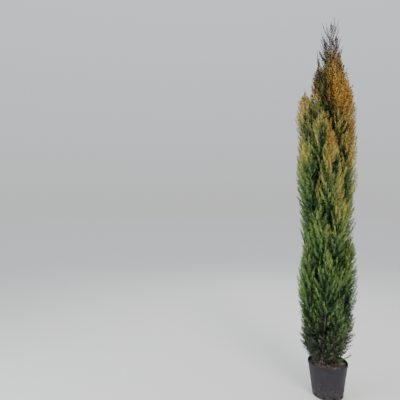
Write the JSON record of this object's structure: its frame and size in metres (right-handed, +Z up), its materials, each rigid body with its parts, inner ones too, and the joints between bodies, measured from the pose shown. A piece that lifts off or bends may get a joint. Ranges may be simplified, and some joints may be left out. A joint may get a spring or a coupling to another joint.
{
  "type": "lemon cypress tree in a nursery container",
  "caption": "Slim columnar conifer with upright feathery plumes, gold at the top and green at the foot, in a round nursery container.",
  "frame": {"origin": "centre of the container's flat underside", "axes": "+Z up along the trunk; -Y towards the side that the picture shows; +X to the right of that side"},
  "size_m": [0.5365, 0.5703, 3.376],
  "materials": {
    "container_plastic": "matte",
    "potting_soil": "matte",
    "bark": "matte",
    "foliage_skirt": "matte",
    "foliage_low": "matte",
    "foliage_waist": "matte",
    "foliage_breast": "matte",
    "foliage_shoulder": "matte",
    "foliage_upper": "matte",
    "foliage_crest": "matte"
  },
  "bodies": {
    "root": {"container": "container_plastic", "potting_soil": "potting_soil", "trunk": "bark", "bough_skirt_1": "bark", "plume_skirt_1": "foliage_skirt", "bough_skirt_2": "bark", "plume_skirt_2": "foliage_skirt", "bough_skirt_3": "bark", "plume_skirt_3": "foliage_skirt", "bough_skirt_4": "bark", "plume_skirt_4": "foliage_skirt", "bough_skirt_5": "bark", "plume_skirt_5": "foliage_skirt", "bough_low_1": "bark", "plume_low_1": "foliage_low", "bough_low_2": "bark", "plume_low_2": "foliage_low", "bough_low_3": "bark", "plume_low_3": "foliage_low", "bough_low_4": "bark", "plume_low_4": "foliage_low", "bough_low_5": "bark", "plume_low_5": "foliage_low", "bough_low_6": "bark", "plume_low_6": "foliage_low", "plume_waist_1": "foliage_waist", "plume_waist_2": "foliage_waist", "plume_waist_3": "foliage_waist", "plume_waist_4": "foliage_waist", "plume_waist_5": "foliage_waist", "plume_waist_6": "foliage_waist", "bough_breast_1": "bark", "plume_breast_1": "foliage_breast", "bough_breast_2": "bark", "plume_breast_2": "foliage_breast", "bough_breast_3": "bark", "plume_breast_3": "foliage_breast", "bough_breast_4": "bark", "plume_breast_4": "foliage_breast", "bough_breast_5": "bark", "plume_breast_5": "foliage_breast", "bough_breast_6": "bark", "plume_breast_6": "foliage_breast", "plume_shoulder_1": "foliage_shoulder", "plume_shoulder_2": "foliage_shoulder", "plume_shoulder_3": "foliage_shoulder", "plume_shoulder_4": "foliage_shoulder", "plume_shoulder_5": "foliage_shoulder", "plume_shoulder_6": "foliage_shoulder", "plume_upper_1": "foliage_upper", "plume_upper_2": "foliage_upper", "plume_upper_3": "foliage_upper", "plume_upper_4": "foliage_upper", "plume_upper_5": "foliage_upper", "plume_crest_1": "foliage_crest", "plume_crest_2": "foliage_crest", "plume_crest_3": "foliage_crest", "plume_leader_1": "foliage_crest"}
  },
  "joints": []
}
